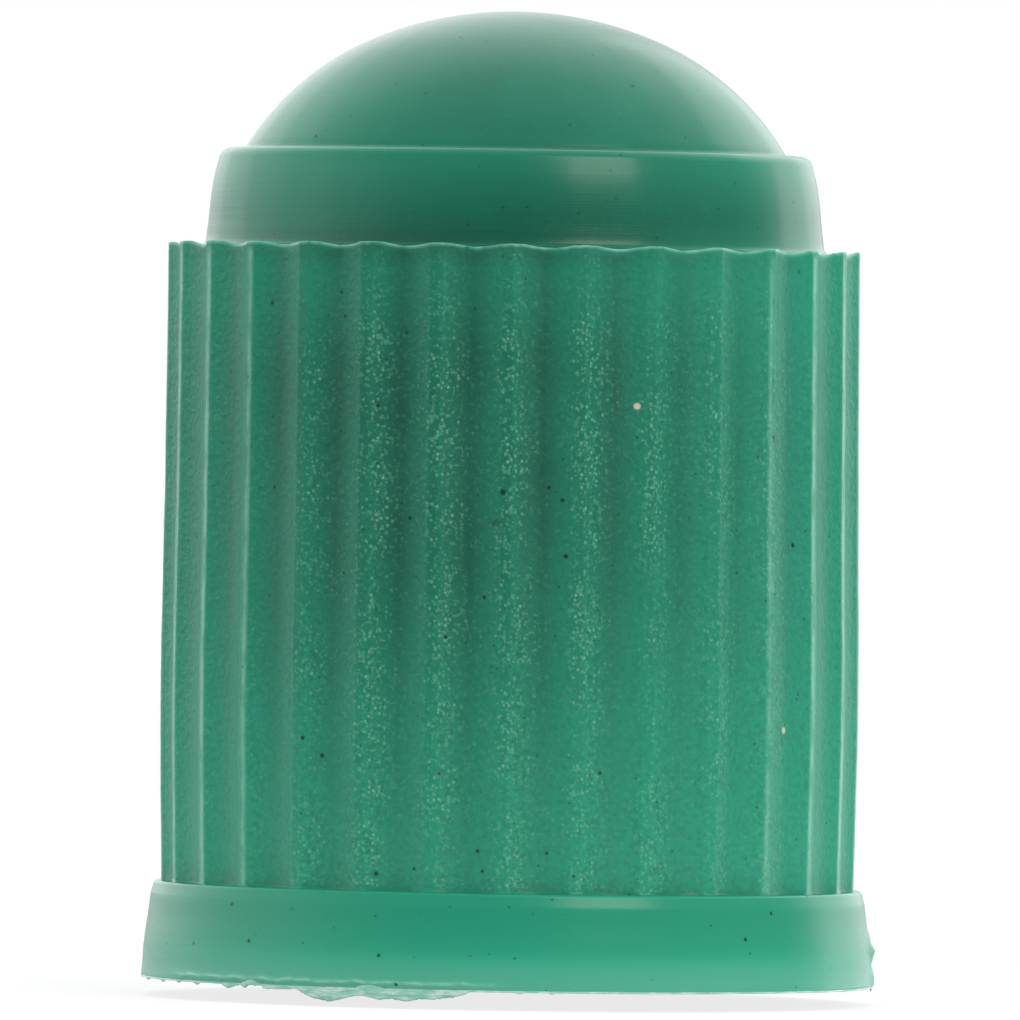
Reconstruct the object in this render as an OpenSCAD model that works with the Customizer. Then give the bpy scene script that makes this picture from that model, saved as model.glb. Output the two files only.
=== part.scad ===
// Screw-on dust cap for a tyre valve stem: one injection moulding with a ribbed grip, a smooth
// shoulder, a domed top, a flared foot, and a threaded socket with its sealing lip moulded in.
// Millimetres. Z is the thread axis, Z = 0 is the mouth's rim, and the dome points up.

/* [Grip] */
// Diameter over the rib crests
grip_d = 9.52; // [9:0.02:12]
// Height of the ribbed grip, from the foot's top to the ledge
grip_h = 8.66; // [7:0.02:12]
// Number of ribs round the grip
rib_count = 30; // [20:1:40]
// Depth of the concave valley between two ribs
rib_depth = 0.12; // [0.06:0.01:0.2]
// Width of the narrow land along each rib's crest
rib_land = 0.16; // [0.08:0.02:0.3]
// Turn of the rib pattern about the axis, in degrees
rib_turn = 5.1; // [0:0.1:12]

/* [Foot] */
// Height of the smooth foot ring
foot_h = 1.3; // [1:0.02:2.4]
// How far the rim stands out past the rib crests
foot_flare = 0.24; // [0.18:0.01:0.5]
// Slope of the foot's side at the rim, in degrees
foot_draft = 3; // [1:0.5:5]
// Radius of the foot's convex side, in section
foot_belly_r = 9.1; // [8:0.1:20]
// Radius of the foot's upper edge
foot_edge_r = 0.05; // [0.02:0.01:0.08]

/* [Shoulder] */
// Height of the shoulder ring over the ledge
shoulder_h = 1.34; // [1:0.02:2]
// Width of the ledge between the rib crests and the shoulder
ledge_w = 0.51; // [0.3:0.01:0.8]
// Slope of the shoulder's side, in degrees
shoulder_draft = 8; // [2:0.5:12]
// Radius of the shoulder's upper edge
shoulder_edge_r = 0.17; // [0.08:0.01:0.22]
// Radius of the fillet at the shoulder's foot
shoulder_fillet_r = 0.12; // [0.05:0.01:0.2]

/* [Dome] */
// Height of the dome over the shoulder
dome_h = 1.92; // [1.2:0.02:2.6]
// Width of the step between the shoulder's edge and the dome
dome_step = 0.3; // [0.26:0.02:0.5]
// Crown radius over that of one sphere through the dome's rim and top
crown_flatness = 1.11; // [1.04:0.01:1.2]
// Angle from the axis at which the crown meets the tighter haunch, in degrees
crown_angle = 22.5; // [15:0.5:30]
// Radius of the fillet at the dome's foot
dome_fillet_r = 0.08; // [0.04:0.01:0.1]

/* [Socket] */
// Crest diameter of the socket's thread, which is the plain bore
bore_d = 7; // [6.6:0.05:8.4]
// Depth of the sealing face from the mouth
bore_depth = 8.2; // [6.8:0.1:9.8]
// Depth of the plain nose under the sealing face, which the thread stops short of
nose_h = 0.35; // [0.3:0.05:0.8]
// Step in from the bore's wall to the nose
nose_step = 0.2; // [0.1:0.05:0.3]
// Radial width of the lead-in at the mouth
lead_w = 0.55; // [0.3:0.05:0.7]
// Depth of the lead-in's straight part
lead_depth = 0.6; // [0.3:0.05:1.2]
// Distance of the sealing lip's middle from the nose's wall
lip_inset = 0.3; // [0.25:0.05:0.6]
// Radius of the sealing lip's rounded edge
lip_edge_r = 0.14; // [0.08:0.02:0.2]
// Height of the sealing lip's straight part
lip_h = 0.14; // [0:0.02:0.3]
// Width of the flat between the lip and the recess over it
lip_land = 0.3; // [0.1:0.05:0.6]
// Wall between the recess and the top of the dome
crown_wall = 1.3; // [1:0.05:1.8]
// Radius of the recess's domed end
recess_end_r = 3.7; // [3.4:0.1:6]

/* [Hidden] */
$fn = 96;

cap_colour = [0.18, 0.55, 0.43];
sink = 0.4;      // how far one solid runs into the next before they join
reach = 1;       // how far a cutter runs past what it cuts
arc_lap = 0.0005;  // how far one arc laps the next where they touch, so that they cross cleanly

ledge_z = foot_h + grip_h;
shoulder_z = ledge_z + shoulder_h;
cap_h = shoulder_z + dome_h;

crest_r = grip_d / 2;
valley_r = crest_r - rib_depth;
half_pitch = 180 / rib_count;
// Each valley's circle passes through its deepest point and through the edges of the lands on both sides.
land_angle = asin(rib_land / grip_d);
edge_chord = crest_r * sin(half_pitch - land_angle);
valley_sag = crest_r * cos(half_pitch - land_angle) - valley_r;
flute_r = (pow(edge_chord, 2) + pow(valley_sag, 2)) / (2 * valley_sag);
flute_centre_r = valley_r + flute_r;

rim_r = crest_r + foot_flare;
belly_x = rim_r - foot_belly_r * cos(foot_draft);
belly_z = -foot_belly_r * sin(foot_draft);

shoulder_foot_r = crest_r - ledge_w;
shoulder_top_r = shoulder_foot_r - shoulder_h * tan(shoulder_draft);

dome_r = shoulder_top_r - dome_step;
dome_sphere_r = (pow(dome_r, 2) + pow(dome_h, 2)) / (2 * dome_h);
crown_r = crown_flatness * dome_sphere_r;
// The haunch arc meets the crown arc with no kink and runs down to the dome's foot.
crown_less_haunch = (pow(dome_r, 2) + pow(dome_h, 2) - 2 * dome_h * crown_r)
    / (2 * (dome_r * sin(crown_angle) + (crown_r - dome_h) * cos(crown_angle) - crown_r));
haunch_r = crown_r - crown_less_haunch;
haunch_x = crown_less_haunch * sin(crown_angle);
haunch_z = dome_h - crown_r + crown_less_haunch * cos(crown_angle);

bore_r = bore_d / 2;
mouth_r = bore_r + lead_w;
nose_r = bore_r - nose_step;
lip_r = nose_r - lip_inset;
recess_r = lip_r - lip_edge_r - lip_land;
recess_top_z = cap_h - crown_wall;

// Middle of the foot's edge circle, which lies inside the belly arc and touches the foot's top
foot_edge_x = belly_x + sqrt(pow(foot_belly_r - foot_edge_r, 2) - pow(foot_h - foot_edge_r - belly_z, 2));
foot_edge_z = foot_h - foot_edge_r;
belly_share = foot_belly_r / (foot_belly_r - foot_edge_r);
foot_touch_z = belly_z + belly_share * (foot_edge_z - belly_z);

// Half section of the smooth foot ring, its side a shallow convex arc with a rounded upper edge
module foot_outline() {
    intersection() {
        square([rim_r, foot_touch_z]);
        translate([belly_x, belly_z]) circle(r = foot_belly_r);
    }
    square([foot_edge_x, foot_h]);
    translate([foot_edge_x, foot_edge_z]) circle(r = foot_edge_r + arc_lap);
}

// A point of the shoulder's side at height z over the ledge
function shoulder_side_r(z) = shoulder_foot_r - z * tan(shoulder_draft);

// Corner of the shoulder's edge circle, which touches its side and its top
edge_x = shoulder_side_r(shoulder_h - shoulder_edge_r) - shoulder_edge_r / cos(shoulder_draft);
edge_z = shoulder_h - shoulder_edge_r;

// Middle of the fillet circle, which touches the shoulder's side and the ledge
fillet_x = shoulder_foot_r + shoulder_fillet_r * (1 - sin(shoulder_draft)) / cos(shoulder_draft);

// Half section of the shoulder over the ledge, with its upper edge rounded
module shoulder_outline() {
    translate([0, ledge_z]) {
        polygon([
            [0, -sink],
            [shoulder_foot_r, -sink],
            [shoulder_foot_r, 0],
            [edge_x + shoulder_edge_r * cos(shoulder_draft), edge_z + shoulder_edge_r * sin(shoulder_draft)],
            [edge_x, edge_z],
            [edge_x, shoulder_h],
            [0, shoulder_h]
        ]);
        translate([edge_x, edge_z]) circle(r = shoulder_edge_r);
        difference() {
            polygon([
                [shoulder_foot_r - shoulder_fillet_r, -shoulder_fillet_r],
                [fillet_x, -shoulder_fillet_r],
                [fillet_x, 0],
                [fillet_x - shoulder_fillet_r * cos(shoulder_draft), shoulder_fillet_r * (1 - sin(shoulder_draft))],
                [shoulder_foot_r - shoulder_fillet_r, shoulder_fillet_r * (1 - sin(shoulder_draft))]
            ]);
            translate([fillet_x, shoulder_fillet_r]) circle(r = shoulder_fillet_r);
        }
    }
}

// Middle of the dome's fillet circle, which touches the haunch and the shoulder's top
dome_fillet_x = haunch_x + sqrt(pow(haunch_r + dome_fillet_r, 2) - pow(dome_fillet_r - haunch_z, 2));
haunch_share = haunch_r / (haunch_r + dome_fillet_r);
dome_touch_x = haunch_x + haunch_share * (dome_fillet_x - haunch_x);
dome_touch_z = haunch_z + haunch_share * (dome_fillet_r - haunch_z);

// Half section of the dome: a flat crown arc, a tighter haunch arc and a fillet at its foot
module dome_outline() {
    translate([0, shoulder_z]) intersection() {
        translate([0, -sink]) square([dome_r + reach, dome_h + sink]);
        union() {
            intersection() {
                translate([0, dome_h - crown_r]) circle(r = crown_r);
                polygon([
                    [0, dome_h - crown_r],
                    [2 * crown_r * sin(crown_angle), dome_h - crown_r + 2 * crown_r * cos(crown_angle)],
                    [0, dome_h - crown_r + 2 * crown_r * cos(crown_angle)]
                ]);
            }
            translate([haunch_x, haunch_z]) circle(r = haunch_r + arc_lap);
        }
    }
    translate([0, shoulder_z]) difference() {
        polygon([
            [dome_r - sink, -dome_fillet_r],
            [dome_fillet_x, -dome_fillet_r],
            [dome_fillet_x, 0],
            [dome_touch_x, dome_touch_z],
            [dome_r - sink, dome_touch_z]
        ]);
        translate([dome_fillet_x, dome_fillet_r]) circle(r = dome_fillet_r + arc_lap);
    }
}

// Solid body inside the ribs and over them, all turned about the axis
module turned_body() {
    rotate_extrude() {
        foot_outline();
        shoulder_outline();
        dome_outline();
    }
}

// Cross-section of the grip: a round bar with a concave valley cut between every two ribs
module grip_outline() {
    difference() {
        circle(r = crest_r);
        for (i = [0 : rib_count - 1])
            rotate(rib_turn + (2 * i + 1) * half_pitch) translate([flute_centre_r, 0]) circle(r = flute_r);
    }
}

// Ribbed grip, from inside the foot to the ledge
module grip() {
    translate([0, 0, foot_h - sink]) linear_extrude(height = grip_h + sink) grip_outline();
}

// Half section of the socket: lead-in, bore, lip and domed recess
module socket_outline() {
    difference() {
        union() {
            translate([0, -reach]) square([mouth_r, reach + lead_depth]);
            polygon([
                [0, lead_depth],
                [mouth_r, lead_depth],
                [bore_r, lead_depth + lead_w],
                [bore_r, bore_depth - nose_h],
                [nose_r, bore_depth - nose_h],
                [nose_r, bore_depth],
                [0, bore_depth]
            ]);
        }
        translate([lip_r - lip_edge_r, bore_depth - lip_h]) square([2 * lip_edge_r, lip_h]);
        translate([lip_r, bore_depth - lip_h]) circle(r = lip_edge_r);
    }
    intersection() {
        translate([0, bore_depth]) square([recess_r, recess_top_z - bore_depth]);
        translate([0, recess_top_z - recess_end_r]) circle(r = recess_end_r);
    }
}

// The whole moulding
module cap() {
    color(cap_colour) difference() {
        union() {
            turned_body();
            grip();
        }
        rotate_extrude() socket_outline();
    }
}

cap();
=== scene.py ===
import math

import bpy
import numpy as np
from mathutils import Euler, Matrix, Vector, noise


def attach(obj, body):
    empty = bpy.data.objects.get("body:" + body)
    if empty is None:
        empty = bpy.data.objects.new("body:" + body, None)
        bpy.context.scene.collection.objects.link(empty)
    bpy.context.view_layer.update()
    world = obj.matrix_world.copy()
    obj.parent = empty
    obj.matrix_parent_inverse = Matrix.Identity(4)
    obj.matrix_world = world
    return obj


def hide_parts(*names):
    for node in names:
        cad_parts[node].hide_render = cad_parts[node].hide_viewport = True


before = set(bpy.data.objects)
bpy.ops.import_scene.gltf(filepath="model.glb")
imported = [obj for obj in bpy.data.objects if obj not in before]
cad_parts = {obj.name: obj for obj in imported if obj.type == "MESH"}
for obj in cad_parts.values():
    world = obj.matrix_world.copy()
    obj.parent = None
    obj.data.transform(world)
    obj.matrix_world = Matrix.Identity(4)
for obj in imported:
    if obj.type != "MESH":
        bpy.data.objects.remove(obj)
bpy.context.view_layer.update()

# All lengths are in millimetres up to the last step, which scales the meshes to metres. Z is the thread
# axis, Z = 0 the mouth's rim. Angles are degrees to the right of the side that faces the camera (-Y).
MM = 0.001

# ---- ribs ----
RIBS = 30
PITCH = 360 / RIBS
FIRST_CREST = -0.9
RIB_DEPTH = 0.12         # of the valley between two ribs
CREST_R = 4.76
LAND = 0.963             # half width of the narrow land along a crest, in degrees
FLUTE_R = 0.911          # each valley is part of a circle of this radius, this far from the axis
FLUTE_CENTRE_R = 5.551
HALF_RIB = (0, 0.6, 0.95, 1.4, 2.5, 4.2)   # where the mesh has points between a crest and a valley
COARSE = 4 * RIBS        # points round the dome, the shoulder and the socket, a third of the grip's

# ---- heights ----
FOOT_TOP = 1.3
LEDGE_Z = 9.96
SHOULDER_TOP = 11.3
DOME_TOP = 13.22
LEAN = 0.0055            # how much level lines drop for each millimetre to the right


def rib_drop(offset):
    """How far the surface lies under the rib's crest, offset degrees from the crest."""
    if abs(offset) <= LAND:
        return 0.0
    a = math.radians(PITCH / 2 - abs(offset))
    side = FLUTE_CENTRE_R * math.sin(a)
    return CREST_R - FLUTE_CENTRE_R * math.cos(a) + math.sqrt(FLUTE_R ** 2 - side ** 2)


def fine_angles():
    """Angles of the grip's and the foot's points, and each one's offset from its rib's crest."""
    offsets = [-PITCH / 2] + [-a for a in HALF_RIB[:0:-1]] + list(HALF_RIB)
    angles = []
    for rib in range(RIBS):
        angles += [FIRST_CREST + rib * PITCH + a for a in offsets]
    return np.array(angles), np.array(offsets * RIBS)


ANGLES, OFFSETS = fine_angles()
FRONT_ANGLES = (ANGLES + 180) % 360 - 180   # the same angles, from -180 to 180
COARSE_ANGLES = ANGLES[::3]
DROPS = np.array([rib_drop(a) for a in OFFSETS])


def smooth(x, low, high):
    """0 under low, 1 over high, and a smooth step between them."""
    t = np.clip((x - low) / (high - low), 0, 1)
    return t * t * (3 - 2 * t)


def spline(points, z):
    """Smooth curve through (z, value) points, by monotone cubic steps."""
    zs = np.array([p[0] for p in points], float)
    vs = np.array([p[1] for p in points], float)
    slopes = np.diff(vs) / np.diff(zs)
    tangents = np.concatenate([[slopes[0]], (slopes[1:] + slopes[:-1]) / 2, [slopes[-1]]])
    for i in range(1, len(zs) - 1):
        if slopes[i - 1] * slopes[i] <= 0:
            tangents[i] = 0
    i = int(np.clip(np.searchsorted(zs, z) - 1, 0, len(zs) - 2))
    h = zs[i + 1] - zs[i]
    t = (z - zs[i]) / h
    return float(
        vs[i] * (1 + 2 * t) * (1 - t) ** 2
        + vs[i + 1] * t * t * (3 - 2 * t)
        + h * tangents[i] * t * (1 - t) ** 2
        + h * tangents[i + 1] * t * t * (t - 1)
    )


def place(angle, r, z):
    """The point at an angle to the right of the camera's side, a radius and a height."""
    a = math.radians(angle - 90)
    return (r * math.cos(a), r * math.sin(a), z)


def waver(point, size, seed=0.0):
    """Smooth noise from -1 to 1 at a point, for bumps about size millimetres wide."""
    return noise.noise(Vector(point) / size + Vector((seed, seed * 1.7, seed * 0.3)))


# Across a rib, by degrees from its crest: how deep the colour is, as painted shade deepest in the valleys and
# painted light on the flanks beside the crest; how thickly the pimples and their painted glints stand; and
# how strongly a pale highlight is painted along the land. The lands are also a little smoother than the
# valleys.
RIB_SHADING_BY_OFFSET = (
    (-6, 1.2), (-4.2, 0.65), (-2.5, 0.15), (-1.4, 0.0), (-0.6, 0.35), (0, 0.45), (0.6, 0.3), (1.4, 0.12),
    (2.5, 0.35), (4.2, 0.75), (6, 1.2),
)
PIMPLES_BY_OFFSET = (
    (-6, 0.3), (-4.2, 0.25), (-2, 0.4), (-0.8, 0.8), (1, 1.0), (3, 0.9), (4.5, 0.5), (6, 0.3),
)
HIGHLIGHT_BY_OFFSET = ((-6, 0), (-0.95, 0), (-0.6, 0.25), (0, 0.85), (0.6, 0.35), (0.95, 0), (6, 0))
LAND_FINISH = 0.65


def by_offset(table):
    """A table's values at each point round the grip."""
    return np.array([spline(table, a) for a in OFFSETS])


RIB_SHADING = by_offset(RIB_SHADING_BY_OFFSET)
LAND_HIGHLIGHTS = by_offset(HIGHLIGHT_BY_OFFSET)
PIMPLES = by_offset(PIMPLES_BY_OFFSET)
FINISH = np.where(np.abs(OFFSETS) < 1.2, LAND_FINISH, 1.0)


def pimples(z):
    """How thickly the pimples and their painted glints stand along a ring of the grip: most in front, least
    at the top.
    """
    front = smooth(FRONT_ANGLES, -45, -28) * (1 - smooth(FRONT_ANGLES, 50, 62))
    level = 1 - 0.65 * smooth(z, 8.4, 9.8)
    return PIMPLES * (0.35 + 0.65 * front) * level


def land_highlights():
    """How strongly a pale highlight is painted at each point of a ring: on the lands at both sides."""
    away = np.abs(FRONT_ANGLES)
    return LAND_HIGHLIGHTS * smooth(away, 38, 54) * (1 - 0.6 * smooth(away, 100, 130))


# How deep the green is, with painted light and shade. By height: paler near the mouth, where light shines
# through the thin wall; paler at the grip's top and the shoulder's top, where light falls from above; darker
# at the shoulder's foot, in the ledge's shade. By angle: darker on the front just left of the middle, where
# least light falls, and paler to the sides and on the right, which are lit more. The shoulder and the dome
# have an angle table of their own. Under 0 the colour is that of the thin rim, painted as lit through.
SHADING_BY_HEIGHT = (
    (0, -0.3), (0.25, -0.14), (0.5, 0.12), (1.25, 0.34), (1.6, 0.36), (3.3, 0.52), (5.7, 0.84),
    (8.1, 0.92), (9.6, 0.7), (10.1, 0.95), (10.7, 0.85), (11.2, 0.72), (11.6, 0.82), (13.3, 0.8),
)
SHADING_BY_ANGLE = (
    (-180, 0.55), (-100, 0.52), (-57, 0.64), (-32, 0.95), (-15, 1.0), (5, 0.94), (20, 0.8), (35, 0.65),
    (53, 0.5), (75, 0.42), (120, 0.5), (180, 0.55),
)
TOP_SHADING_BY_ANGLE = (
    (-180, 0.6), (-100, 0.55), (-57, 0.58), (-32, 0.78), (-15, 0.92), (5, 0.96), (20, 0.93), (35, 0.88),
    (53, 0.79), (75, 0.7), (120, 0.62), (180, 0.6),
)
CROWN_SHADING = 0.9        # what the angle's painted shade fades to at the dome's top


def shaded_depth(angle, z, share=0.0):
    """How deep the green is at a point, with the painted light and shade by height and by angle. share says
    how dark the painted shade is across its rib.
    """
    over_foot = float(smooth(z, 0.9, 1.9))
    ribbed = float(smooth(z, 1.25, 1.4) * (1 - smooth(z, 9.8, 10.0)))
    angle = (angle + 180) % 360 - 180
    side = spline(SHADING_BY_ANGLE, angle)
    side += (spline(TOP_SHADING_BY_ANGLE, angle) - side) * float(smooth(z, 9.9, 10.4))
    side += (CROWN_SHADING - side) * float(smooth(z, 11.9, 13.1))
    # Across the rib: painted shade in the valleys and painted light beside the crests.
    rib_shading = 1.0 + ribbed * (0.32 * share - 0.24)
    return spline(SHADING_BY_HEIGHT, max(z, 0.0)) * (1 + over_foot * (side - 1)) * rib_shading


class Skin:
    """A closed surface that grows ring by ring, down the outside and up the inside."""

    def __init__(self):
        self.verts = []
        self.faces = []
        self.looks = {"grip": [], "depth": [], "pimples_and_glints": [], "painted_highlight": []}

    def point(self, angle, r, z, grip=0.0, share=0.0, pimples_and_glints=0.0, painted_highlight=0.0):
        """grip is how matte the point is, pimples_and_glints how thickly pimples and their painted glints
        stand there, painted_highlight how strongly a pale highlight is painted there.
        """
        self.verts.append(place(angle, r, z))
        self.looks["grip"].append(grip)
        self.looks["depth"].append(shaded_depth(angle, z, share))
        self.looks["pimples_and_glints"].append(pimples_and_glints)
        self.looks["painted_highlight"].append(painted_highlight)

    def ring(self, angles, radii, heights, grip=0.0, share=0.0, pimples_and_glints=0.0, painted_highlight=0.0):
        """One ring of points, each value the same all round or one for each point."""
        first = len(self.verts)
        columns = np.broadcast_arrays(angles, radii, heights, grip, share, pimples_and_glints, painted_highlight)
        for values in zip(*columns):
            self.point(*values)
        return list(range(first, len(self.verts)))

    def stack(self, above, angles, profile):
        """Rings at a profile's (radius, height) points, each joined to the one before."""
        for r, z in profile:
            ring = self.ring(angles, r, z)
            self.join(above, ring)
            above = ring
        return above

    def join(self, above, below):
        """Faces between two rings with as many points."""
        count = len(above)
        for j in range(count):
            k = (j + 1) % count
            self.faces.append((above[j], below[j], below[k], above[k]))

    def widen(self, coarse, fine):
        """Faces from a coarse ring out to a fine one, which has three points for each of its."""
        count = len(coarse)
        for j in range(count):
            k = (j + 1) % count
            edge = [fine[(3 * j + s) % len(fine)] for s in range(4)]
            self.faces.append((coarse[j], *edge, coarse[k]))

    def narrow(self, fine, coarse):
        """Faces from a fine ring in to a coarse one."""
        count = len(coarse)
        for j in range(count):
            k = (j + 1) % count
            edge = [fine[(3 * j + s) % len(fine)] for s in (3, 2, 1, 0)]
            self.faces.append((coarse[j], coarse[k], *edge))

    def tip(self, ring, z, above):
        """A fan of faces that closes the surface on the axis."""
        centre = len(self.verts)
        self.point(0.0, 0.0, z)
        count = len(ring)
        for j in range(count):
            k = (j + 1) % count
            face = (centre, ring[j], ring[k]) if above else (centre, ring[k], ring[j])
            self.faces.append(face)


# ---- dome and shoulder ----
CROWN_R = 5.0
HAUNCH_R = 3.72
CROWN_ANGLE = 22.6       # where the crown arc meets the haunch arc, from the axis
DOME_FOOT = 0.05         # how far over the shoulder the haunch arc ends
SHOULDER_SIDE = (
    (10.08, 4.215), (10.19, 4.2), (10.27, 4.19), (10.65, 4.152), (10.87, 4.12), (11.05, 4.082),
    (11.14, 4.05),
)
EDGE_R = 0.17
EDGE_X = 3.885           # middle of the shoulder's edge, seen in section
EDGE_Z = 11.13
FILLET_R = 0.11
SIDE_TOP = 11.09         # heights of the side's rings
SIDE_FOOT = 10.1
SIDE_STEP = 0.08


def dome_profile():
    """The crown arc and the tighter haunch arc, from just off the axis to the dome's foot."""
    points = []
    for a in np.linspace(1.2, CROWN_ANGLE, 14):
        t = math.radians(a)
        points.append((CROWN_R * math.sin(t), DOME_TOP - CROWN_R + CROWN_R * math.cos(t)))
    turn = math.radians(CROWN_ANGLE)
    centres_apart = CROWN_R - HAUNCH_R
    haunch_x = centres_apart * math.sin(turn)
    haunch_z = DOME_TOP - CROWN_R + centres_apart * math.cos(turn)
    end = math.degrees(math.acos((SHOULDER_TOP + DOME_FOOT - haunch_z) / HAUNCH_R))
    for a in np.linspace(CROWN_ANGLE + 1.8, end, 20):
        t = math.radians(a)
        points.append((haunch_x + HAUNCH_R * math.sin(t), haunch_z + HAUNCH_R * math.cos(t)))
    return points


def shoulder_profile():
    """The shoulder's top, edge and side, and the fillet down to the ledge."""
    foot_r = dome_profile()[-1][0]
    points = [(foot_r + 0.012, SHOULDER_TOP + 0.018), (foot_r + 0.035, SHOULDER_TOP + 0.002)]
    points += [(foot_r + 0.08, SHOULDER_TOP), (EDGE_X - 0.02, SHOULDER_TOP)]
    for a in (85, 70, 55, 40, 27, 15):
        t = math.radians(a)
        points.append((EDGE_X + EDGE_R * math.cos(t), EDGE_Z + EDGE_R * math.sin(t)))
    for z in np.arange(SIDE_TOP, SIDE_FOOT, -SIDE_STEP):
        points.append((spline(SHOULDER_SIDE, z), z))
    side = SHOULDER_SIDE[0][1]
    for a in (10, 30, 50, 70, 88):
        t = math.radians(a)
        points.append((side + FILLET_R * (1 - math.cos(t)), LEDGE_Z + FILLET_R * (1 - math.sin(t))))
    return points


# ---- grip and foot ----
CREST_SIDE = (
    (1.2, 4.735), (1.35, 4.735), (2, 4.747), (3.9, 4.773), (6.5, 4.747), (8.5, 4.735), (10.1, 4.729),
)
GRIP_STEP = 0.075        # between two rings of the grip
GRIP_MARGIN = 0.1        # from the ledge to the first of them
ROOT_R = 0.008           # the fillet at the ribs' feet
FOOT_SIDE = (
    (0, 4.992), (0.1, 4.982), (0.21, 4.973), (0.43, 4.959), (0.54, 4.945), (0.65, 4.932), (0.76, 4.915),
    (0.87, 4.9), (0.98, 4.886), (1.1, 4.872), (1.13, 4.867), (1.16, 4.859), (1.25, 4.832),
)
FOOT_SIDE_ROWS = (
    1.24, 1.2, 1.165, 1.145, 1.13, 1.11, 1.05, 0.97, 0.89, 0.8, 0.7, 0.6, 0.5, 0.4, 0.3, 0.22, 0.16,
    0.13, 0.11, 0.09, 0.07, 0.05, 0.03,
)
FOOT_EDGE_R = 0.05


def foot_profile():
    """The foot's top, its rounded edge and its side, down to just over the rim."""
    edge_x = spline(FOOT_SIDE, FOOT_TOP - FOOT_EDGE_R) - FOOT_EDGE_R
    points = [(edge_x - 0.02, FOOT_TOP), (edge_x, FOOT_TOP)]
    for a in (70, 50, 30, 12):
        t = math.radians(a)
        points.append((edge_x + FOOT_EDGE_R * math.cos(t), FOOT_TOP - FOOT_EDGE_R * (1 - math.sin(t))))
    return points + [(spline(FOOT_SIDE, z), z) for z in FOOT_SIDE_ROWS]


CHIP_ANGLE = 86
CHIP_WIDTH = 2.2         # in degrees
CHIP_OUT = 0.07          # how far the torn chip of flash stands out
BEAD_Z = 0.085
BEAD_WIDTH = 0.02
BEAD_OUT = 0.026         # how far the fine bead of flash stands out


def bead(z):
    """1 along the middle of the fine bead of flash just over the rim in front, 0 away from it."""
    height = np.array([BEAD_Z + 0.03 * noise.noise(Vector((a * 0.35, 1.0, 6.0))) for a in FRONT_ANGLES])
    band = smooth(FRONT_ANGLES, -66, -58) * (1 - smooth(FRONT_ANGLES, -8, 2))
    return band * np.exp(-((z - height) / BEAD_WIDTH) ** 2)


def flashed(z):
    """How far the torn chip on the right and the bead in front stand out at height z."""
    ragged = max(0.0, 0.6 + 1.2 * noise.noise(Vector((0.0, 3.0, z * 5.0))))
    top = float(1 - smooth(z, 0.6, 0.85))
    torn = ragged * top * np.exp(-((FRONT_ANGLES - CHIP_ANGLE) / CHIP_WIDTH) ** 2)
    return CHIP_OUT * torn + BEAD_OUT * bead(z)


# How far a rib's top stands over the ledge, by degrees from its crest
LIFT_BY_OFFSET = (
    (-6, -0.008), (-4.2, -0.004), (-2.5, 0.014), (-1.2, 0.034), (0, 0.04), (2.5, 0.036), (4.2, 0.012),
    (6, -0.008),
)
# Rows over a rib's top: how far in each lies, how far up, how much of the lift it takes, and how pale it is,
# as a painted highlight along the top edge
LIP_ROWS = (
    (0.12, -0.025, 0.35, 0.6), (0.06, -0.02, 0.8, 0.6), (0.035, 0.004, 1.0, 2.0), (0.012, 0.006, 1.0, 2.4),
    (-0.004, -0.012, 1.0, 1.2), (0.0, -0.045, 1.0, 0.3),
)
LEDGE_R = 4.42
RIM_ROWS = ((4.99, 0.012), (4.98, 0.0), (4.94, -0.002))


def top_heights():
    """Height of each point along the ribs' top edge, a little uneven from rib to rib."""
    ribs = np.arange(len(OFFSETS)) // (2 * len(HALF_RIB))
    uneven = np.array([1 + 0.45 * noise.noise(Vector((i * 1.37, 0.0, 8.0))) for i in ribs])
    small = np.array([0.008 * noise.noise(Vector((a * 0.9, 5.0, 2.0))) for a in ANGLES])
    return LEDGE_Z + by_offset(LIFT_BY_OFFSET) * uneven + small


def roughened(radii, z, coarse=0.004, fine=0.0025):
    """Radii with the slight unevenness of the moulded ribs."""
    out = np.array(radii, float)
    for i, a in enumerate(ANGLES):
        p = place(a, out[i], z)
        stretched = (p[0], p[1], p[2] * 0.45)
        out[i] += coarse * waver(stretched, 0.32) + fine * waver(p, 0.14, 4.0)
    return out


def build_top(skin):
    """Dome, shoulder and ledge. Returns the ledge's ring."""
    profile = dome_profile() + shoulder_profile()
    first = skin.ring(COARSE_ANGLES, *profile[0])
    skin.tip(first, DOME_TOP, above=True)
    last = skin.stack(first, COARSE_ANGLES, profile[1:])
    ledge = skin.ring(ANGLES, LEDGE_R, LEDGE_Z - 0.004)
    skin.widen(last, ledge)
    return ledge


def build_grip(skin, above):
    """The ribs, from over their top edges down to the foot's top."""
    crest = spline(CREST_SIDE, LEDGE_Z)
    lifts = top_heights() - LEDGE_Z
    for inset, up, lift, pale in LIP_ROWS:
        radii = crest - inset - DROPS
        heights = LEDGE_Z + lifts * lift + up
        # The top rows are painted paler, as a highlight along the ribs' top edge.
        ring = skin.ring(ANGLES, radii, heights, grip=0.3, share=RIB_SHADING - pale, painted_highlight=0.3 * pale)
        skin.join(above, ring)
        above = ring
    highlights = land_highlights()
    top = LEDGE_Z - GRIP_MARGIN
    for z in np.linspace(top, FOOT_TOP + 0.05, int((top - FOOT_TOP) / GRIP_STEP)):
        radii = roughened(spline(CREST_SIDE, z) - DROPS, z)
        ring = skin.ring(ANGLES, radii, z, FINISH, RIB_SHADING, pimples(z), highlights)
        skin.join(above, ring)
        above = ring
    root = spline(CREST_SIDE, FOOT_TOP) - DROPS + ROOT_R
    ring = skin.ring(ANGLES, root, FOOT_TOP + 0.012, grip=0.3)
    skin.join(above, ring)
    return ring


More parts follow.
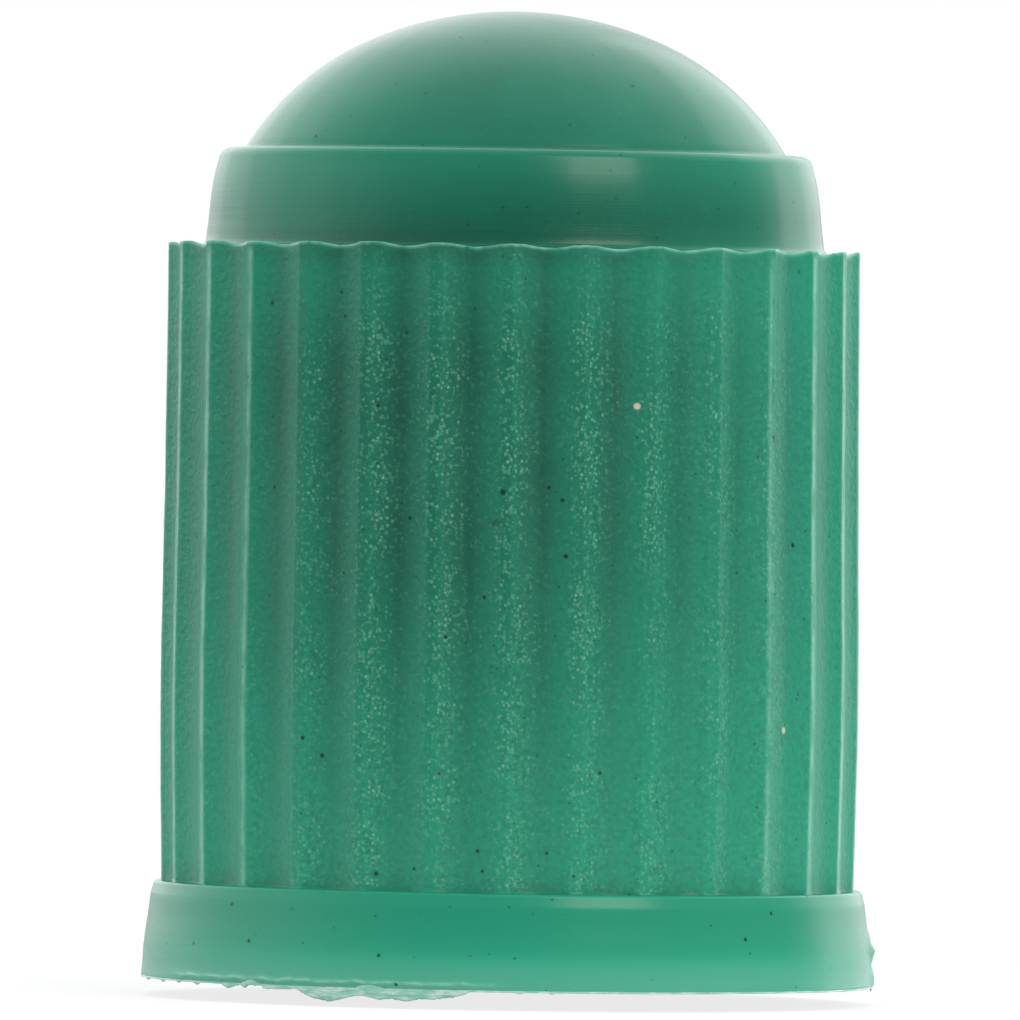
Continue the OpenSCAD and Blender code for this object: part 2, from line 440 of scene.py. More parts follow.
def build_foot(skin, above):
    """The foot's top and side with the chip and the bead on it, down to the rim."""
    for r, z in foot_profile():
        # A pale highlight is painted along the bead.
        ring = skin.ring(ANGLES, r + flashed(z), z, painted_highlight=bead(z))
        skin.join(above, ring)
        above = ring
    return skin.stack(above, ANGLES, RIM_ROWS)


# ---- socket ----
RIM_INSIDE_R = 4.62
MOUTH_R = 4.05
LEAD_Z = 0.6
BORE_R = 3.5
THREAD_ROOT_R = 3.92
THREAD_PITCH = 25.4 / 32
THREAD_START = 1.2
THREAD_ROWS = (0.0, 0.24, 0.33, 0.47, 0.56, 0.69, 0.78, 0.91)   # shares of the pitch
THREAD_DEPTHS = (0.0, 0.0, 0.24, 0.76, 1.0, 1.0, 0.76, 0.24)    # shares of the thread's depth
THREAD_TURNS = 7
NOSE_Z = 7.85
NOSE_R = 3.3
FACE_Z = 8.2
LIP_R = 3.0
LIP_EDGE_R = 0.14
RECESS_R = 2.56
RECESS_END_R = 3.7
RECESS_TOP = 11.92


def thread_column(skin, angle, turn, total):
    """The thread's points at one angle, which is a share of a turn from the first."""
    rows = len(THREAD_ROWS)
    column = []
    for k in range(total + 1):
        turns = k // rows + turn
        z = THREAD_START + (k // rows + THREAD_ROWS[k % rows] + turn) * THREAD_PITCH
        fade = smooth(turns, 1.0, 1.5) * (1 - smooth(turns, THREAD_TURNS - 1.1, THREAD_TURNS - 0.6))
        r = BORE_R + (THREAD_ROOT_R - BORE_R) * THREAD_DEPTHS[k % rows] * float(fade)
        column.append(len(skin.verts))
        skin.point(angle, r, z)
    return column


def build_thread(skin, below):
    """Right-hand thread as one helical sheet, plain at both its ends."""
    rows = len(THREAD_ROWS)
    total = rows * THREAD_TURNS
    grid = [thread_column(skin, angle, j / COARSE, total) for j, angle in enumerate(COARSE_ANGLES)]
    last = COARSE - 1
    for j in range(last):
        skin.faces.append((below[j], grid[j][0], grid[j + 1][0], below[j + 1]))
        for k in range(total):
            skin.faces.append((grid[j][k], grid[j][k + 1], grid[j + 1][k + 1], grid[j + 1][k]))
    skin.faces.append((below[0], below[last], grid[last][0], *[grid[0][k] for k in range(rows, -1, -1)]))
    for k in range(total - rows):
        skin.faces.append((grid[last][k], grid[last][k + 1], grid[0][k + 1 + rows], grid[0][k + rows]))
    return grid, rows, total


def close_thread(skin, grid, rows, total, above):
    """Faces from the thread's end up to the plain ring over it."""
    last = COARSE - 1
    for j in range(last):
        skin.faces.append((grid[j][total], above[j], above[j + 1], grid[j + 1][total]))
    side = [grid[last][k] for k in range(total - rows, total + 1)]
    skin.faces.append((grid[0][total], *side, above[last], above[0]))


def nose_profile():
    """The plain nose over the thread, the sealing face and its lip."""
    lip_out = LIP_R + LIP_EDGE_R
    lip_in = LIP_R - LIP_EDGE_R
    profile = [(BORE_R - 0.02, NOSE_Z), (NOSE_R + 0.02, NOSE_Z), (NOSE_R, NOSE_Z + 0.02)]
    profile += [(NOSE_R, FACE_Z - 0.02), (NOSE_R - 0.02, FACE_Z)]
    profile += [(lip_out + 0.01, FACE_Z), (lip_out, FACE_Z - 0.02)]
    for a in range(0, 181, 20):
        t = math.radians(a)
        lip_z = FACE_Z - LIP_EDGE_R - LIP_EDGE_R * math.sin(t)
        profile.append((LIP_R + LIP_EDGE_R * math.cos(t), lip_z))
    return profile + [(lip_in, FACE_Z - 0.02), (lip_in - 0.01, FACE_Z)]


def recess_profile():
    """The recess over the sealing face, with its domed end."""
    profile = [(RECESS_R + 0.03, FACE_Z), (RECESS_R, FACE_Z + 0.03)]
    centre_z = RECESS_TOP - RECESS_END_R
    wall_end = math.asin(RECESS_R / RECESS_END_R)
    wall_top = centre_z + RECESS_END_R * math.cos(wall_end)
    for z in np.linspace(FACE_Z + 0.3, wall_top - 0.05, 8):
        profile.append((RECESS_R, z))
    for a in np.linspace(math.degrees(wall_end) - 0.6, 3, 14):
        t = math.radians(a)
        profile.append((RECESS_END_R * math.sin(t), centre_z + RECESS_END_R * math.cos(t)))
    return profile


def build_inside(skin, rim):
    """The mouth's flat rim, the lead-in, the threaded bore and all that lies over it."""
    inner = skin.ring(COARSE_ANGLES, RIM_INSIDE_R, 0.0)
    skin.narrow(rim, inner)
    lead = ((4.1, 0.0), (4.06, 0.02), (MOUTH_R, 0.06), (MOUTH_R, LEAD_Z), (BORE_R + 0.02, LEAD_Z + 0.53))
    above = skin.stack(inner, COARSE_ANGLES, lead)
    start = skin.ring(COARSE_ANGLES, BORE_R, LEAD_Z + 0.57)
    skin.join(above, start)
    grid, rows, total = build_thread(skin, start)
    top = skin.ring(COARSE_ANGLES, BORE_R, NOSE_Z - 0.02)
    close_thread(skin, grid, rows, total, top)
    end = skin.stack(top, COARSE_ANGLES, nose_profile() + recess_profile())
    skin.tip(end, RECESS_TOP, above=False)


def make_mesh(name, verts, faces, sharp_angle=50, looks=None):
    """A linked mesh object in metres, from points in millimetres, with its look as point attributes."""
    mesh = bpy.data.meshes.new(name)
    mesh.from_pydata([(x * MM, y * MM, (z - LEAN * x) * MM) for x, y, z in verts], [], faces)
    mesh.validate()
    mesh.shade_smooth()
    mesh.set_sharp_from_angle(angle=math.radians(sharp_angle))
    for look, values in (looks or {}).items():
        layer = mesh.attributes.new(look, "FLOAT", "POINT")
        layer.data.foreach_set("value", np.array(values, np.float32))
    obj = bpy.data.objects.new(name, mesh)
    bpy.context.scene.collection.objects.link(obj)
    return obj


def build_cap():
    """The moulding's whole skin as one closed mesh."""
    skin = Skin()
    ledge = build_top(skin)
    root = build_grip(skin, ledge)
    rim = build_foot(skin, root)
    build_inside(skin, rim)
    return make_mesh("cap_moulding", skin.verts, skin.faces, looks=skin.looks)


# ---- flash: the thin film and burrs that the mould left along the rim's edge ----
FLASH_POINTS = 1500      # round the rim
FLASH_R = 4.987
FLASH_THICK = 0.03
FLASH_LEAST = 0.012      # how far it hangs under the rim where there is no film and no burr
# The film as (angle, how far it hangs under the rim); the burrs and folds as (angle, half width, height)
FILM = (
    (-41.5, 0.0), (-40.9, 0.05), (-38.5, 0.05), (-35.6, 0.045), (-34.9, 0.03), (-34.2, 0.045), (-33, 0.1),
    (-31.2, 0.15), (-28.4, 0.19), (-26.4, 0.15), (-24, 0.1), (-22.2, 0.1), (-20, 0.145), (-18, 0.125),
    (-15.5, 0.16), (-13.4, 0.12), (-11.4, 0.125), (-8, 0.085), (-6.4, 0.05), (-5.4, 0.0),
)
BURRS = (
    (-78, 2.0, 0.03), (-69, 1.2, 0.035), (-63, 0.8, 0.03), (-57, 0.8, 0.045), (-48.5, 1.6, 0.06),
    (-45, 0.8, 0.05), (2.0, 0.8, 0.03), (7.0, 0.5, 0.03), (66, 0.7, 0.02), (86, 1.8, 0.05),
)
FOLDS = ((-43.6, 1.2, 0.05), (-21.7, 1.5, 0.035))


def film_height(angle):
    """How far the thin film hangs under the rim."""
    if not FILM[0][0] < angle < FILM[-1][0]:
        return 0.0
    return float(np.interp(angle, [p[0] for p in FILM], [p[1] for p in FILM]))


def highest(lumps, angle):
    """The highest of some round lumps at an angle."""
    heights = [height * math.exp(-((angle - centre) / width) ** 2) for centre, width, height in lumps]
    return max(0.0, *heights)


def burr_height(angle):
    """How far the burrs hang under the rim: the listed ones, and a low ragged edge all round."""
    rough = noise.noise(Vector((angle * 1.3, 0.0, 5.0))) + 0.6 * noise.noise(Vector((angle * 3.1, 2.0, 1.0)))
    band = 0.028 if -88 < angle < -42 else 0.008
    return highest(BURRS, angle) + band * max(0.0, rough)


def flash_section(angle):
    """Points round the flash's section at an angle: (radius, height, 1 along its free edge)."""
    film = film_height(angle)
    ragged = 0.012 * noise.noise(Vector((angle * 2.1, 7.0, 0.0)))
    hang = max(FLASH_LEAST, film + (ragged if film > 0.03 else 0.0), burr_height(angle))
    sway = 0.03 * waver((angle * 0.25, 0.0, 3.0), 1.0) * min(1.0, hang / 0.1)
    thick = FLASH_THICK * (0.8 + 0.5 * abs(noise.noise(Vector((angle * 0.9, 3.0, 9.0)))))
    fold = highest(FOLDS, angle)
    end = FLASH_R + sway
    mid = FLASH_R + sway * 0.5 + 0.01
    return (
        (FLASH_R - 0.03, 0.03 + fold, 0), (FLASH_R + 0.3 * fold, 0.02 + fold, 0), (mid, -hang * 0.5, 0),
        (FLASH_R + sway * 0.8, -hang * 0.86, 0), (end, -hang, 1), (end - thick * 0.5, 0.003 - hang, 1),
        (mid - thick, -hang * 0.5, 0), (FLASH_R - thick * 1.6, 0.0, 0), (FLASH_R - thick * 2, 0.03, 0),
    )


def build_flash():
    """The flash as one closed band that runs all the way round under the rim's edge."""
    angles = np.linspace(-180, 180, FLASH_POINTS, endpoint=False)
    sections = [flash_section(a) for a in angles]
    rows = len(sections[0])
    verts = []
    edges = []
    for s in range(rows):
        for a, section in zip(angles, sections):
            r, z, edge = section[s]
            verts.append(place(a, r, z))
            edges.append(edge)
    faces = []
    for s in range(rows):
        first = s * FLASH_POINTS
        below = (s + 1) % rows * FLASH_POINTS
        for j in range(FLASH_POINTS):
            k = (j + 1) % FLASH_POINTS
            faces.append((first + j, below + j, below + k, first + k))
    return make_mesh("cap_flash", verts, faces, sharp_angle=60, looks={"edge": edges})


# ---- materials ----
# Colours as linear red, green, blue and alpha
GREEN = (0.018, 0.38, 0.235, 1)
# The deep green also paints shade: in the valleys, on the front's left and in the pits.
GREEN_DEEP = (0.004, 0.104, 0.066, 1)
GREEN_PALE = (0.02, 0.33, 0.21, 1)
# The next is painted light: the thin rim lit through from inside.
GREEN_LIT_THROUGH = (0.09, 0.43, 0.31, 1)
# A painted glint, on the pimples' tops.
GLINT = (0.2, 0.56, 0.4, 1)
# A painted highlight, on the lands, the ribs' tops and the bead.
HIGHLIGHT_GREEN = (0.27, 0.6, 0.47, 1)
SPECK = (0.004, 0.03, 0.02, 1)
CREAM = (0.75, 0.66, 0.45, 1)
FILM_MINT = (0.3, 0.72, 0.58, 1)
FILM_PALE = (0.72, 0.95, 0.88, 1)
FILM_EDGE = (0.09, 0.3, 0.24, 1)

# Sizes of the textures, as cells or waves to a millimetre
CLOUDS = 0.55
GRAIN = 9.0
PATCHES = 1.3
PIMPLE_CELLS = 15.0
PIMPLE_GRAINS = 17.0
MOTTLE = 14.0
PITS = 11.0
HIGHLIGHT_BREAKS = 7.0
DUST_CELLS = 2.0
FINE_DUST_CELLS = 3.8
CRUMPLE = 8.0

# How far the textures are drawn out along x, y and z: more than 1 is finer
HIGHLIGHT_ALONG = (1.0, 1.0, 0.35)
TURNED_ROUND = (0.25, 0.25, 38.0)
CRUMPLED_ALONG = (0.6, 0.6, 2.2)

# How strongly each of them shows, at most
CLOUD_MIX = 0.12
GRAIN_MIX = 0.08
LIT_THROUGH_MIX = 0.85
PIT_MIX = 0.3
PIT_LEAST = 0.12
GRAIN_GLINT = 0.5        # a grain's glint beside a pimple's
GLINT_MIX = 0.68
HIGHLIGHT_LEAST = 0.35
HIGHLIGHT_MOST = 0.9
BLOTCH_MIX = 0.4
DARK_MIX = 0.92
FINE_DUST_MIX = 0.65
CREAM_MIX = 0.8
EDGE_MIX = 0.85

DUST_SHARE = 0.65        # share of the cells that hold a speck of dust
FINE_DUST_SHARE = 0.8
RELIEF = 0.009           # depth of the relief that the light shows, in millimetres
FILM_RELIEF = 0.05
LATHE_SIDE = 0.12        # share of it that the lathe's marks take, on the foot and then on the top
LATHE_TOP = 0.2
SPECK_CORE = 0.6         # where a speck starts to fade and where it ends, as shares of its radius
SPECK_END = 1.3
SPECK_REACH = 0.85       # how far a speck reaches in and out from the surface, 1 being without end

PLASTIC_IOR = 1.5
SPECULAR_LEVEL = 0.43
SMOOTH_ROUGHNESS = 0.24
GRIP_ROUGHNESS = 0.4
FILM_ROUGHNESS = 0.3
FILM_CLEARNESS = 0.2
TRANSLUCENCY = 0.35
LIGHT_DEPTH = 0.35       # how far light spreads in the plastic, in millimetres
LIGHT_SPREAD = (0.3, 1.0, 0.75)   # the share of that for red, green and blue

# (angle, height, radius) of the specks in the plastic
DARK_SPECKS = (
    (-1.5, 6.68, 0.04), (6.1, 6.75, 0.028), (8.3, 6.58, 0.03), (8.9, 5.83, 0.032), (-17.1, 6.32, 0.03),
    (-4.4, 5.27, 0.028), (-43.7, 6.71, 0.026), (-32.6, 3.11, 0.034), (-15.6, 1.62, 0.024),
    (-4.2, 1.6, 0.024), (10.7, 1.55, 0.024), (-11.4, 2.9, 0.022), (54.8, 6.0, 0.036),
)
BLOTCHES = ((-2.5, 6.27, 0.06),)
CREAM_SPECKS = ((20.8, 7.85, 0.045), (52.6, 3.5, 0.045))


class Nodes:
    """Short calls for building a node tree."""

    def __init__(self, tree):
        self.tree = tree
        tree.nodes.clear()

    def add(self, kind, **values):
        node = self.tree.nodes.new(kind)
        for key, value in values.items():
            setattr(node, key, value)
        return node

    def put(self, source, target):
        self.tree.links.new(source, target)

    def fill(self, socket, value):
        """Links a socket to another, or gives it a plain value."""
        if isinstance(value, bpy.types.NodeSocket):
            self.put(value, socket)
        else:
            socket.default_value = value

    def feed(self, node, key, value):
        self.fill(node.inputs[key], value)

    def math(self, operation, a, b=0.0, clamp=False):
        node = self.add("ShaderNodeMath", operation=operation, use_clamp=clamp)
        self.feed(node, 0, a)
        self.feed(node, 1, b)
        return node.outputs[0]

    def plus(self, a, b):
        return self.math("ADD", a, b)

    def times(self, a, b):
        return self.math("MULTIPLY", a, b)

    def most(self, a, b):
        return self.math("MAXIMUM", a, b)

    def rest(self, a):
        """What is left of 1."""
        return self.math("SUBTRACT", 1.0, a)

    def blend(self, a, b, share):
        """a where share is 0 and b where it is 1."""
        return self.plus(self.times(a, self.rest(share)), self.times(b, share))

    def vector(self, operation, a, b=(0, 0, 0), out=0):
        node = self.add("ShaderNodeVectorMath", operation=operation)
        self.feed(node, 0, a)
        self.feed(node, 1, b)
        return node.outputs[out]

    def scaled(self, vector, factor):
        """A vector times a number."""
        node = self.add("ShaderNodeVectorMath", operation="SCALE")
        self.feed(node, 0, vector)
        self.feed(node, "Scale", factor)
        return node.outputs[0]

    def axes(self, vector):
        """A vector's x, y and z."""
        node = self.add("ShaderNodeSeparateXYZ")
        self.put(vector, node.inputs[0])
        return node.outputs

    def place_mm(self):
        """The point's own place on the piece, in millimetres."""
        return self.scaled(self.add("ShaderNodeTexCoord").outputs["Object"], 1 / MM)

    def attribute(self, name):
        return self.add("ShaderNodeAttribute", attribute_name=name).outputs["Fac"]

    def ramp(self, value, low, high, start=0.0, end=1.0):
        """start under low, end over high, and a smooth step between them."""
        node = self.add("ShaderNodeMapRange", interpolation_type="SMOOTHSTEP")
        for key, v in enumerate((value, low, high, start, end)):
            self.feed(node, key, v)
        return node.outputs[0]

    def noise(self, vector, scale, detail=2.0, rough=0.5):
        node = self.add("ShaderNodeTexNoise")
        self.feed(node, "Vector", vector)
        self.feed(node, "Scale", scale)
        self.feed(node, "Detail", detail)
        self.feed(node, "Roughness", rough)
        return node.outputs["Fac"]

    def dots(self, vector, scale, low, high):
        """Round dots, one to a cell, and each cell's own random number."""
        node = self.add("ShaderNodeTexVoronoi")
        self.feed(node, "Vector", vector)
        self.feed(node, "Scale", scale)
        parts = self.add("ShaderNodeSeparateColor")
        self.put(node.outputs["Color"], parts.inputs[0])
        return self.ramp(node.outputs["Distance"], low, high, 1.0, 0.0), parts.outputs[0]

    def colour(self, share, a, b):
        """Colour a where share is 0 and b where it is 1."""
        node = self.add("ShaderNodeMix", data_type="RGBA")
        self.feed(node, 0, share)
        # The node has several sockets with one name, so those of the colour kind are found by type.
        sockets = [s for s in node.inputs if s.type == "RGBA"]
        self.fill(sockets[0], a)
        self.fill(sockets[1], b)
        return [s for s in node.outputs if s.type == "RGBA"][0]

    def bump(self, height, depth):
        """Relief from a height map, as deep as depth millimetres."""
        node = self.add("ShaderNodeBump")
        self.feed(node, "Strength", 1.0)
        self.feed(node, "Distance", depth * MM)
        self.put(height, node.inputs["Height"])
        return node.outputs[0]

    def finish(self, shader):
        out = self.add("ShaderNodeOutputMaterial")
        self.put(shader.outputs[0], out.inputs["Surface"])


def new_material(name):
    """A material and the calls that build its nodes."""
    material = bpy.data.materials.new(name)
    material.use_nodes = True
    return material, Nodes(material.node_tree)


def surface_radius(z):
    """The part's radius at a height, halfway down a valley on the grip."""
    if z < FOOT_TOP:
        return spline(FOOT_SIDE, z)
    return spline(CREST_SIDE, z) - RIB_DEPTH / 2


def spots(n, here, specks):
    """1 inside the listed specks, 0 outside. Each is a slim body that reaches in and out of the surface."""
    total = None
    for angle, z, radius in specks:
        away = n.vector("SUBTRACT", here, place(angle, surface_radius(z), z))
        outward = Vector(place(angle, 1.0, 0.0))
        along = n.vector("DOT_PRODUCT", away, outward, out=1)
        reach = n.scaled(outward, n.times(along, SPECK_REACH))
        gap = n.vector("LENGTH", n.vector("SUBTRACT", away, reach), out=1)
        mask = n.ramp(gap, radius * SPECK_CORE, radius * SPECK_END, 1.0, 0.0)
        total = mask if total is None else n.most(total, mask)
    return total


def green(n, here, depth):
    """The plastic's colour: deep or pale by the skin's depth, which carries painted light and shade, with the
    thin rim painted as lit through, and a little clouded and grainy.
    """
    cloud = n.ramp(n.noise(here, CLOUDS, 3.0), 0.45, 0.75, 0.0, CLOUD_MIX)
    grain = n.ramp(n.noise(here, GRAIN, 2.0), 0.55, 0.75, 0.0, GRAIN_MIX)
    thin = n.ramp(depth, 0.22, -0.25, 0.0, LIT_THROUGH_MIX)
    colour = n.colour(depth, GREEN, GREEN_DEEP)
    colour = n.colour(cloud, colour, GREEN_PALE)
    colour = n.colour(grain, colour, GREEN_PALE)
    return n.colour(thin, colour, GREEN_LIT_THROUGH)


def pimple_glints(n, here):
    """How thickly the pimples stand, and how bright a glint is painted on each one's top."""
    patches = n.ramp(n.noise(here, PATCHES, 2.0, 0.6), 0.36, 0.6, 0.45, 1.0)
    dense = n.times(n.attribute("pimples_and_glints"), patches)
    dot, chance = n.dots(here, PIMPLE_CELLS, 0.1, 0.5)
    bright = n.math("SUBTRACT", n.plus(chance, n.times(dense, 1.15)), 1.0, clamp=True)
    grains = n.ramp(n.noise(here, PIMPLE_GRAINS, 1.0), 0.56, 0.7, 0.0, GRAIN_GLINT)
    return dense, n.most(n.times(dot, bright), n.times(grains, dense))


def pimpled(n, here, colour, grip, dense, glint):
    """The colour with painted shade in the pits between the pimples and painted glints on their tops."""
    mottle = n.ramp(n.noise(here, MOTTLE, 1.5), 0.56, 0.36)
    pit = n.times(mottle, n.plus(n.times(dense, PIT_MIX), PIT_LEAST))
    colour = n.colour(n.times(pit, grip), colour, GREEN_DEEP)
    return n.colour(n.times(glint, GLINT_MIX), colour, GLINT)


def highlighted(n, here, colour):
    """The colour with broken pale lines of painted highlight on the lands, the ribs' tops and the bead."""
    drawn = n.vector("MULTIPLY", here, HIGHLIGHT_ALONG)
    broken = n.ramp(n.noise(drawn, HIGHLIGHT_BREAKS), 0.3, 0.6, HIGHLIGHT_LEAST, HIGHLIGHT_MOST)
    return n.colour(n.times(n.attribute("painted_highlight"), broken), colour, HIGHLIGHT_GREEN)


def dust(n, here):
    """Specks of dust at random, some larger and more of them fine."""
    coarse, chance = n.dots(here, DUST_CELLS, 0.035, 0.075)
    coarse = n.times(coarse, n.math("LESS_THAN", chance, DUST_SHARE))
    fine, chance = n.dots(here, FINE_DUST_CELLS, 0.045, 0.095)
    fine = n.times(fine, n.math("LESS_THAN", chance, FINE_DUST_SHARE))
    return n.most(coarse, n.times(fine, FINE_DUST_MIX))


def specked(n, here, colour):
    """The colour with its blotch, its dark specks and its cream ones."""
    darks = n.most(dust(n, here), spots(n, here, DARK_SPECKS))
    colour = n.colour(n.times(spots(n, here, BLOTCHES), BLOTCH_MIX), colour, SPECK)
    colour = n.colour(n.times(darks, DARK_MIX), colour, SPECK)
    return n.colour(n.times(spots(n, here, CREAM_SPECKS), CREAM_MIX), colour, CREAM)


def relief(n, here, grip, glint):
    """Bump of the eroded grip, and of the lathe's marks on the smooth rings."""
    pits = n.ramp(n.noise(here, PITS, 1.5), 0.35, 0.75, 0.0, 0.5)
    eroded = n.plus(n.times(pits, grip), n.times(glint, 1.5))
    turned = n.vector("MULTIPLY", here, TURNED_ROUND)
    lathe = n.times(n.noise(turned, 1.0, 2.0, 0.6), n.rest(grip))
    cut = n.ramp(n.axes(here)[2], 9.0, 10.0, LATHE_SIDE, LATHE_TOP)
    return n.bump(n.plus(eroded, n.times(lathe, cut)), RELIEF)


def plastic():
    """The moulding's green polyethylene."""
    material, n = new_material("green_polyethylene")
    here = n.place_mm()
    grip = n.attribute("grip")
    dense, glint = pimple_glints(n, here)
    # The depth attribute carries painted light and shade as well as the green's depth.
    colour = green(n, here, n.attribute("depth"))
    colour = pimpled(n, here, colour, grip, dense, glint)
    colour = specked(n, here, highlighted(n, here, colour))
    matte = n.math("SUBTRACT", grip, n.times(glint, 0.7))
    shader = n.add("ShaderNodeBsdfPrincipled")
    n.feed(shader, "Base Color", colour)
    n.feed(shader, "Roughness", n.ramp(matte, 0.0, 1.0, SMOOTH_ROUGHNESS, GRIP_ROUGHNESS))
    n.feed(shader, "Normal", relief(n, here, grip, glint))
    n.feed(shader, "IOR", PLASTIC_IOR)
    n.feed(shader, "Specular IOR Level", SPECULAR_LEVEL)
    n.feed(shader, "Subsurface Weight", TRANSLUCENCY)
    n.feed(shader, "Subsurface Radius", LIGHT_SPREAD)
    n.feed(shader, "Subsurface Scale", LIGHT_DEPTH * MM)
    n.finish(shader)
    return material


def film_plastic():
    """The flash's thin, crumpled plastic, dark along its free edge."""
    material, n = new_material("thin_flash")
    crumple = n.noise(n.vector("MULTIPLY", n.place_mm(), CRUMPLED_ALONG), CRUMPLE, 3.0)
    edge = n.ramp(n.attribute("edge"), 0.0, 1.0, 0.0, EDGE_MIX)
    colour = n.colour(n.ramp(crumple, 0.35, 0.7), FILM_MINT, FILM_PALE)
    shader = n.add("ShaderNodeBsdfPrincipled")
    n.feed(shader, "Base Color", n.colour(edge, colour, FILM_EDGE))
    n.feed(shader, "Roughness", FILM_ROUGHNESS)
    n.feed(shader, "IOR", PLASTIC_IOR)
    n.feed(shader, "Transmission Weight", FILM_CLEARNESS)
    n.feed(shader, "Normal", n.bump(crumple, FILM_RELIEF))
    n.finish(shader)
    return material


# ---- studio ----
FLOOR_Z = -0.26          # just clear of the flash
FLOOR_RADII = (7, 11, 15, 20)
FLOOR_SIDES = 64
FLOOR_GREY = (0.86, 0.86, 0.86, 1)      # what lights the cap
FLOOR_SHADE = (0.2, 0.2, 0.2, 1)        # what the camera sees: a little shading over an even glow
FLOOR_GLOW = 0.81
WHITE = (1, 1, 1, 1)


def floor_mesh():
    """A disc under the cap, wide enough for its shadow and no wider."""
    verts = [(0.0, 0.0, FLOOR_Z)]
    for r in FLOOR_RADII:
        verts += [place(360 * j / FLOOR_SIDES, r, FLOOR_Z) for j in range(FLOOR_SIDES)]
    faces = []
    for j in range(FLOOR_SIDES):
        k = (j + 1) % FLOOR_SIDES
        faces.append((0, 1 + j, 1 + k))
        for i in range(len(FLOOR_RADII) - 1):
            inner = 1 + i * FLOOR_SIDES
            outer = inner + FLOOR_SIDES
            faces.append((inner + j, outer + j, outer + k, inner + k))
    return make_mesh("floor", verts, faces)


def floor_material():
    """Pale and matte, and nearly white to the camera but for the shadow."""
    material, n = new_material("pale_floor")
    matte = n.add("ShaderNodeBsdfDiffuse")
    n.feed(matte, "Color", FLOOR_GREY)
    shade = n.add("ShaderNodeBsdfDiffuse")
    n.feed(shade, "Color", FLOOR_SHADE)
    glow = n.add("ShaderNodeEmission")
    n.feed(glow, "Color", WHITE)
    n.feed(glow, "Strength", FLOOR_GLOW)
    shown = n.add("ShaderNodeAddShader")
    n.put(shade.outputs[0], shown.inputs[0])
    n.put(glow.outputs[0], shown.inputs[1])
    pick = n.add("ShaderNodeMixShader")
    n.put(n.add("ShaderNodeLightPath").outputs["Is Camera Ray"], pick.inputs[0])
    n.put(matte.outputs[0], pick.inputs[1])
    n.put(shown.outputs[0], pick.inputs[2])
    n.finish(pick)
    return material


def build_floor():
    floor = floor_mesh()
    floor.data.materials.append(floor_material())


# In the studio's levels x, y and z are the direction of the ray: x to the right, y away from the camera and
# z up.
def level_gloss(n, x, y, z):
    """What gloss sees round the cap: bright behind it and dim in front, its left unlike its right."""
    right = n.ramp(x, -0.15, 0.15)
    raised = n.ramp(z, -0.02, 0.1)
    far_right = n.plus(n.ramp(y, 0.26, 0.48), n.ramp(x, 0.6, 0.95, 0.0, 0.25))
    far_right = n.times(far_right, n.ramp(raised, 0.0, 1.0, 0.4, 1.0))
    level_left = n.math("POWER", n.ramp(y, -0.8, 0.5, 0.0, 0.75), 1.4)
    raised_left = n.plus(n.ramp(y, -1.05, 0.0, 0.0, 1.2), n.ramp(y, 0.0, 0.7, 0.0, 0.36))
    return n.blend(n.blend(level_left, raised_left, raised), far_right, right)


def gloss_level(n, x, y, z):
    """How bright the studio is to gloss in each direction."""
    above = n.plus(n.ramp(y, -0.6, 0.5, 0.12, 0.9), n.ramp(y, 0.2, 0.6, 0.0, 0.42))
    around = n.blend(level_gloss(n, x, y, z), above, n.ramp(z, 0.3, 0.75))
    return n.plus(n.ramp(z, 0.05, 0.3, 0.03, 0.15), around)


def room_level(n, x, y):
    """How bright the studio is to matte surfaces: brighter on the right and behind."""
    return n.plus(n.ramp(x, -0.5, 0.9, 0.6, 0.86), n.ramp(y, 0.0, 0.6, 0.0, 0.2))


def number_mix(n, share, a, b):
    """Number a where share is 0 and b where it is 1."""
    node = n.add("ShaderNodeMix", data_type="FLOAT")
    for key, value in ((0, share), (2, a), (3, b)):
        n.feed(node, key, value)
    return node.outputs[0]


def build_world():
    """White to the camera and through the film, and a studio of its own to gloss and to matte surfaces."""
    world = bpy.data.worlds.new("studio")
    bpy.context.scene.world = world
    world.use_nodes = True
    n = Nodes(world.node_tree)
    x, y, z = n.axes(n.add("ShaderNodeTexCoord").outputs["Generated"])
    path = n.add("ShaderNodeLightPath").outputs
    level = number_mix(n, path["Is Glossy Ray"], room_level(n, x, y), gloss_level(n, x, y, z))
    shown = n.most(path["Is Camera Ray"], path["Is Transmission Ray"])
    background = n.add("ShaderNodeBackground")
    n.feed(background, "Color", WHITE)
    n.feed(background, "Strength", number_mix(n, shown, level, 1.0))
    out = n.add("ShaderNodeOutputWorld")
    n.put(background.outputs[0], out.inputs["Surface"])


LAMP_AIM = (0, 0, 0.0066)   # the cap's middle, in metres


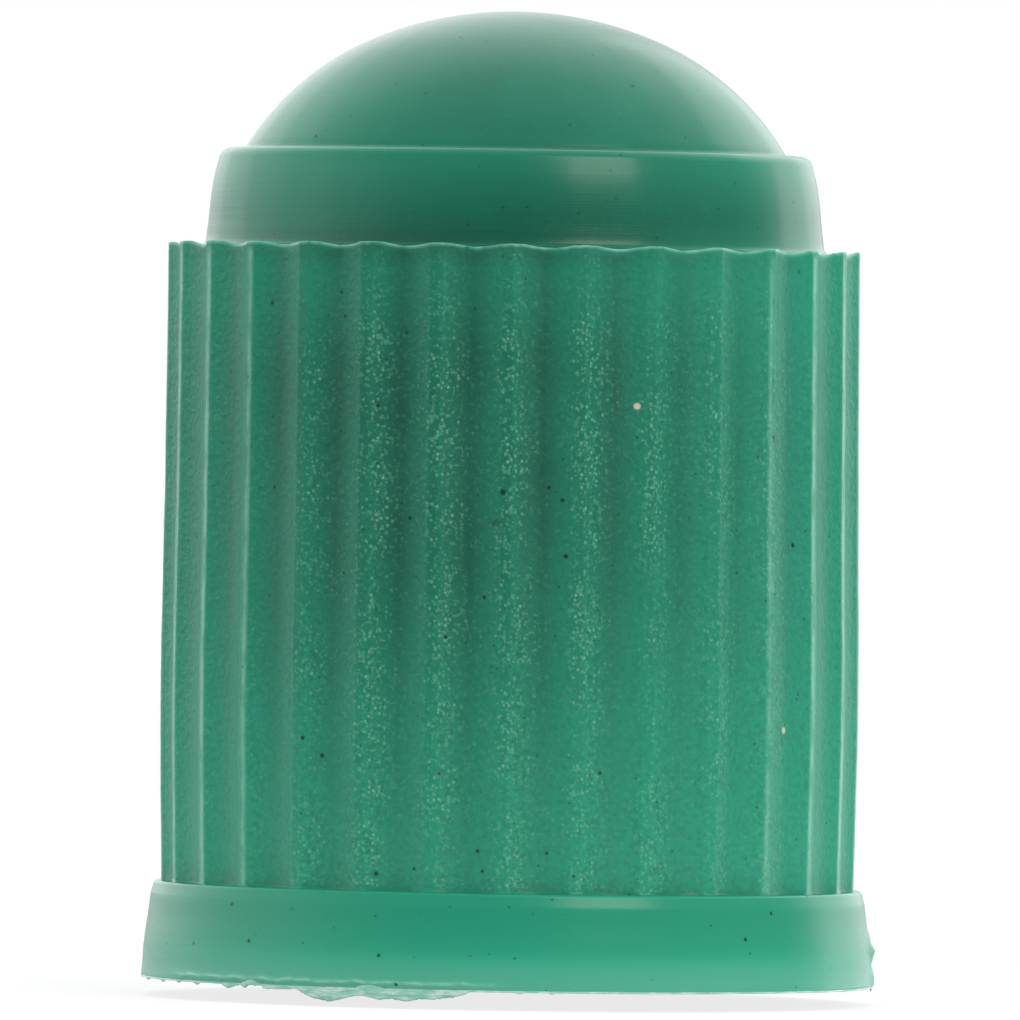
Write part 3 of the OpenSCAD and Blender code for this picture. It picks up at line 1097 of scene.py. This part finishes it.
def softbox(name, azimuth, elevation, distance, size, power, colour=(1, 1, 1), glossy=True):
    """Rectangular lamp, in metres, that faces the cap. Azimuth is to the right of the camera's side."""
    lamp = bpy.data.lights.new(name, "AREA")
    lamp.shape = "RECTANGLE"
    lamp.size, lamp.size_y = size
    lamp.energy = power
    lamp.color = colour
    obj = bpy.data.objects.new(name, lamp)
    bpy.context.scene.collection.objects.link(obj)
    turn = math.radians(azimuth)
    rise = math.radians(elevation)
    flat = math.cos(rise)
    offset = Vector((math.sin(turn) * flat, -math.cos(turn) * flat, math.sin(rise)))
    obj.location = Vector(LAMP_AIM) + offset * distance
    obj.rotation_euler = offset.to_track_quat("Z", "Y").to_euler()
    obj.visible_camera = False
    obj.visible_glossy = glossy


def build_lights():
    softbox("window", 35, 35, 0.5, (0.25, 0.26), 0.66, (1, 0.93, 0.82))
    softbox("left_bank", -145, 8, 0.5, (0.45, 0.6), 0.6, glossy=False)
    softbox("right_bank", 145, 8, 0.5, (0.45, 0.6), 0.6)
    softbox("overhead", 0, 75, 0.6, (0.5, 0.5), 1.0, glossy=False)


# ---- camera ----
DISTANCE = 250
LEVEL_Z = 7.6            # the camera's height
CENTRE_X = -0.026        # the point at the picture's middle
CENTRE_Z = 6.42
VIEW_WIDTH = 13.915      # the picture's width at the cap's axis
ROLL = 0.65
SENSOR = 36
CLIP_NEAR = 0.01         # in metres
CLIP_FAR = 5


def build_camera():
    data = bpy.data.cameras.new("camera")
    data.sensor_width = SENSOR
    data.lens = SENSOR * DISTANCE / VIEW_WIDTH
    data.clip_start = CLIP_NEAR
    data.clip_end = CLIP_FAR
    camera = bpy.data.objects.new("camera", data)
    bpy.context.scene.collection.objects.link(camera)
    stand = Vector((CENTRE_X, -DISTANCE, LEVEL_Z)) * MM
    aim = Vector((CENTRE_X, 0, CENTRE_Z)) * MM
    look = (aim - stand).to_track_quat("-Z", "Y")
    camera.location = stand
    camera.rotation_mode = "QUATERNION"
    camera.rotation_quaternion = look @ Euler((0, 0, math.radians(ROLL))).to_quaternion()
    bpy.context.scene.camera = camera


def main():
    cap = build_cap()
    flash = build_flash()
    cap.data.materials.append(plastic())
    flash.data.materials.append(film_plastic())
    for piece in (cap, flash):
        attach(piece, "root")
    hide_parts("cap")
    build_floor()
    build_world()
    build_lights()
    build_camera()
    bpy.context.scene.view_settings.view_transform = "Standard"


main()
